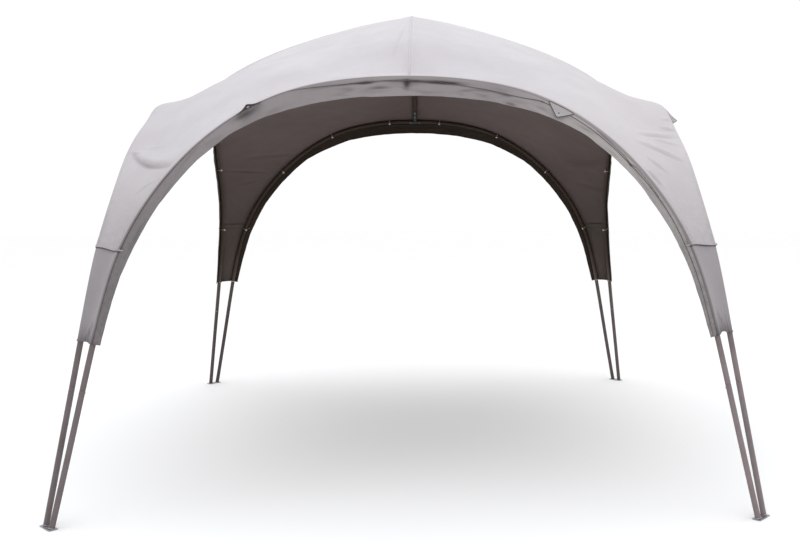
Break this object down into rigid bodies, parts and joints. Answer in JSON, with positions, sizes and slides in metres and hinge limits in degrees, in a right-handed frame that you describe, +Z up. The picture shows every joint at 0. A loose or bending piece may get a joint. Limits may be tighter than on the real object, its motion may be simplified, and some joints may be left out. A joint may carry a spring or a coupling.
{
  "type": "garden gazebo",
  "caption": "Open garden gazebo: bent steel tube arches carry a fitted fabric dome with leg sleeves and valances.",
  "frame": {"origin": "on the ground in the middle of the four feet", "axes": "+Z up; the picture looks at the front, which faces -Y; +X to the right of someone facing the front"},
  "size_m": [3.6064, 3.6064, 2.7743],
  "materials": {
    "frame_tube_steel": "satin grey brown powder coat",
    "foot_plate_steel": "dull zinc plate",
    "joint_plastic": "matt moulded",
    "roof_cloth": "coated polyester, pale grey outside and brown grey inside",
    "sleeve_cloth": "coated polyester, mid grey",
    "valance_cloth": "coated polyester, mid grey"
  },
  "bodies": {
    "root": {"front_left_foot_plate": "foot_plate_steel", "front_left_leg_front": "frame_tube_steel", "front_left_leg_left": "frame_tube_steel", "front_left_leg_sleeve": "sleeve_cloth", "front_left_canopy_panel": "roof_cloth", "front_arch_tube": "frame_tube_steel", "front_roof_rib": "frame_tube_steel", "front_rib_socket": "joint_plastic", "front_valance": "valance_cloth", "front_valance_tab_left": "valance_cloth", "front_valance_tab_right": "valance_cloth", "front_right_foot_plate": "foot_plate_steel", "front_right_leg_right": "frame_tube_steel", "front_right_leg_front": "frame_tube_steel", "front_right_leg_sleeve": "sleeve_cloth", "front_right_canopy_panel": "roof_cloth", "right_arch_tube": "frame_tube_steel", "right_roof_rib": "frame_tube_steel", "right_rib_socket": "joint_plastic", "right_valance": "valance_cloth", "right_valance_tab_left": "valance_cloth", "right_valance_tab_right": "valance_cloth", "rear_right_foot_plate": "foot_plate_steel", "rear_right_leg_rear": "frame_tube_steel", "rear_right_leg_right": "frame_tube_steel", "rear_right_leg_sleeve": "sleeve_cloth", "rear_right_canopy_panel": "roof_cloth", "rear_arch_tube": "frame_tube_steel", "rear_roof_rib": "frame_tube_steel", "rear_rib_socket": "joint_plastic", "rear_valance": "valance_cloth", "rear_valance_tab_left": "valance_cloth", "rear_valance_tab_right": "valance_cloth", "rear_left_foot_plate": "foot_plate_steel", "rear_left_leg_left": "frame_tube_steel", "rear_left_leg_rear": "frame_tube_steel", "rear_left_leg_sleeve": "sleeve_cloth", "rear_left_canopy_panel": "roof_cloth", "left_arch_tube": "frame_tube_steel", "left_roof_rib": "frame_tube_steel", "left_rib_socket": "joint_plastic", "left_valance": "valance_cloth", "left_valance_tab_left": "valance_cloth", "left_valance_tab_right": "valance_cloth", "crown_hub": "joint_plastic"}
  },
  "joints": []
}
